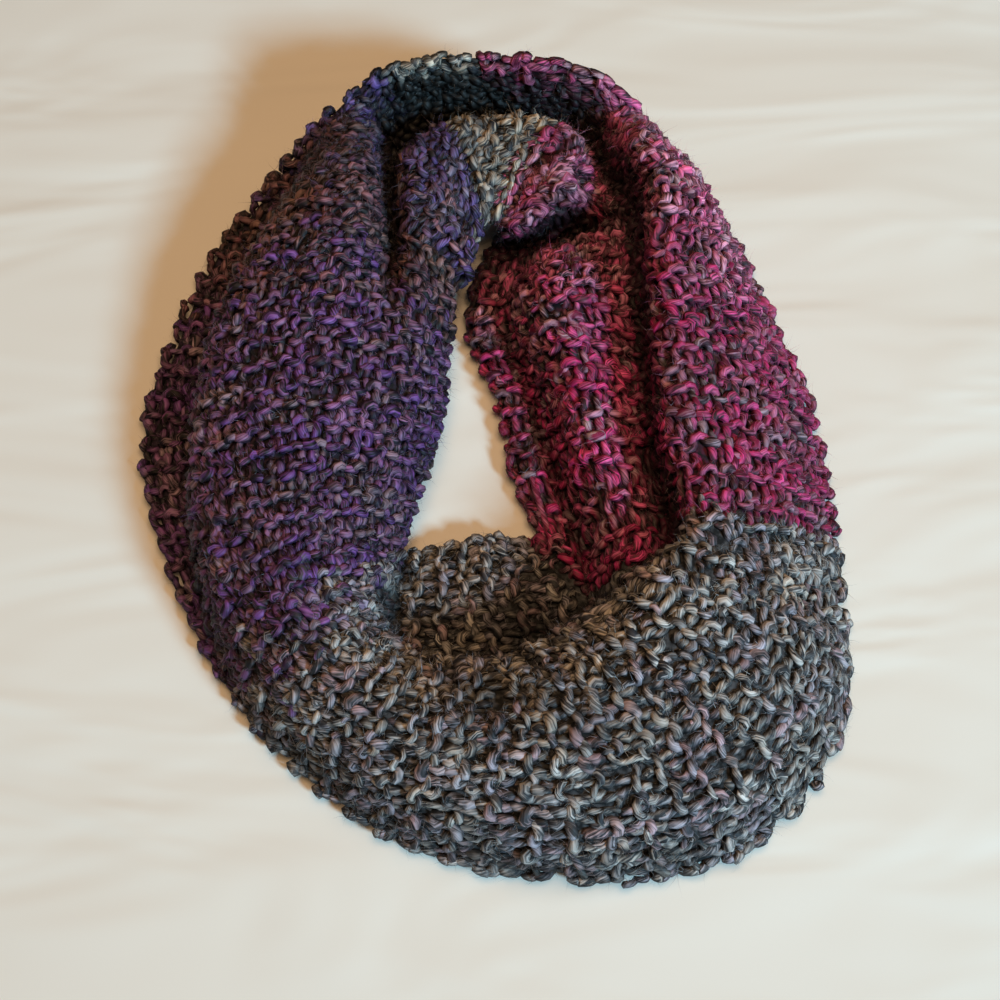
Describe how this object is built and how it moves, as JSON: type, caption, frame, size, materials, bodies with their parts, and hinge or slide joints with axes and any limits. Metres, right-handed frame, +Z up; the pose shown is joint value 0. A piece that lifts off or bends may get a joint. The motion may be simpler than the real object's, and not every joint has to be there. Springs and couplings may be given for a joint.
{
  "type": "infinity scarf",
  "caption": "Thick garter-stitch loop scarf in marled raspberry, purple and grey yarn, laid down in a folded ring round its neck opening.",
  "frame": {"origin": "on the ground the scarf lies on, under the middle of its bounding box", "axes": "+Z up; +Y from the long grey front towards the short grey stripe at the top; +X from the purple side towards the raspberry side"},
  "size_m": [0.349, 0.4088, 0.0774],
  "materials": {
    "raspberry_yarn": "bulky marled wool-blend yarn, raspberry with grey and near-black plies, slightly fuzzy",
    "pale_grey_yarn": "bulky marled wool-blend yarn, pale warm grey with blue-black plies, slightly fuzzy",
    "purple_yarn": "bulky marled wool-blend yarn, purple with black and mauve-grey plies, slightly fuzzy",
    "dark_grey_yarn": "bulky marled wool-blend yarn, mid grey with charcoal plies and pink flecks, slightly fuzzy"
  },
  "bodies": {
    "root": {"raspberry_right": "raspberry_yarn", "grey_top": "pale_grey_yarn", "purple_left": "purple_yarn", "grey_front": "dark_grey_yarn"}
  },
  "joints": []
}
